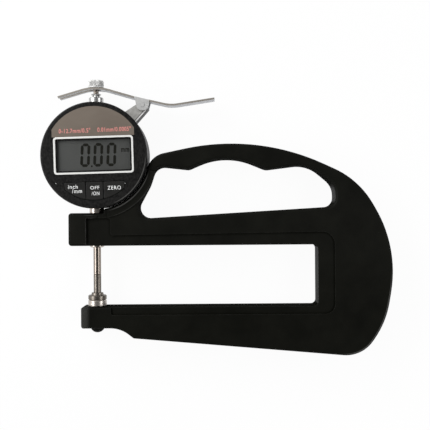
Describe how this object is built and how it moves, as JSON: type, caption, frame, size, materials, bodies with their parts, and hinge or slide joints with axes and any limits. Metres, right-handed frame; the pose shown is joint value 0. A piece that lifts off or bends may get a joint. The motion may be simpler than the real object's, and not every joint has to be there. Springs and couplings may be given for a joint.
{
  "type": "digital thickness gauge",
  "caption": "Deep-throat thickness gauge: cast D-frame with grip, digital indicator, flat contact over an anvil and a lifting lever.",
  "frame": {"origin": "centre of the anvil's measuring face, on the spindle's axis", "axes": "+Y up the spindle, +X along the throat to its closed end, +Z out of the display; the gauge lies on its back"},
  "size_m": [0.1888, 0.15, 0.0191],
  "materials": {
    "cast_paint": "satin black paint over a cast frame",
    "steel": "ground and polished steel",
    "plated": "satin nickel plating",
    "black_plastic": "fine-textured black plastic",
    "face_metal": "brown-grey metallic lacquer",
    "white_line": "white gloss",
    "clear": "clear window",
    "display": "dark grey reflective display",
    "board": "green laminate",
    "rubber": "soft rubber",
    "screw_steel": "blackened steel"
  },
  "bodies": {
    "gauge": {"frame": "cast_paint", "anvil": "steel", "stem": "steel", "upper_bushing": "plated", "case": "black_plastic", "back_cover": "black_plastic", "back_cover_screws": "screw_steel", "battery": "plated", "battery_contact": "plated", "bezel": "black_plastic", "face_plate": "face_metal", "lcd_frame": "white_line", "lcd_window": "clear", "lcd_panel": "display", "lcd_connector": "rubber", "circuit_board": "board", "dome_switches": "plated", "scale_strip": "board", "guide_rod": "steel", "return_spring": "steel", "lever_bracket": "plated", "bracket_screws": "screw_steel", "lever_pin": "steel", "clamp_screw": "screw_steel", "anvil_screw": "screw_steel"},
    "plunger": {"spindle": "steel", "contact_point": "steel", "lifting_cap": "plated", "scale_carrier": "black_plastic"},
    "lever": {"lift_lever": "plated"},
    "unit_key": {"button_unit": "black_plastic"},
    "power_key": {"button_power": "black_plastic"},
    "zero_key": {"button_zero": "black_plastic"},
    "battery_cap": {"battery_cover": "black_plastic"}
  },
  "joints": [
    {"name": "spindle_slide", "type": "slide", "parent": "gauge", "child": "plunger", "axis": [0, 1, 0], "range_m": [0, 0.0127], "stiffness_N_per_m": 40, "springref_m": -0.025},
    {"name": "lever_pivot", "type": "hinge", "parent": "gauge", "child": "lever", "pos_m": [0.02555, 0.10589, 0], "axis": [0, 0, 1], "range_deg": [-23.5, 0]},
    {"name": "unit_press", "type": "slide", "parent": "gauge", "child": "unit_key", "axis": [0, 0, -1], "range_m": [0, 0.0005], "stiffness_N_per_m": 800},
    {"name": "power_press", "type": "slide", "parent": "gauge", "child": "power_key", "axis": [0, 0, -1], "range_m": [0, 0.0005], "stiffness_N_per_m": 800},
    {"name": "zero_press", "type": "slide", "parent": "gauge", "child": "zero_key", "axis": [0, 0, -1], "range_m": [0, 0.0005], "stiffness_N_per_m": 800},
    {"name": "battery_cover_turn", "type": "hinge", "parent": "gauge", "child": "battery_cap", "pos_m": [0.0115, 0.0728, -0.0074], "axis": [0, 0, -1], "range_deg": [0, 90]}
  ],
  "couplings": [
    {"joint": "lever_pivot", "follows": "spindle_slide", "rad_per_m": -31}
  ]
}
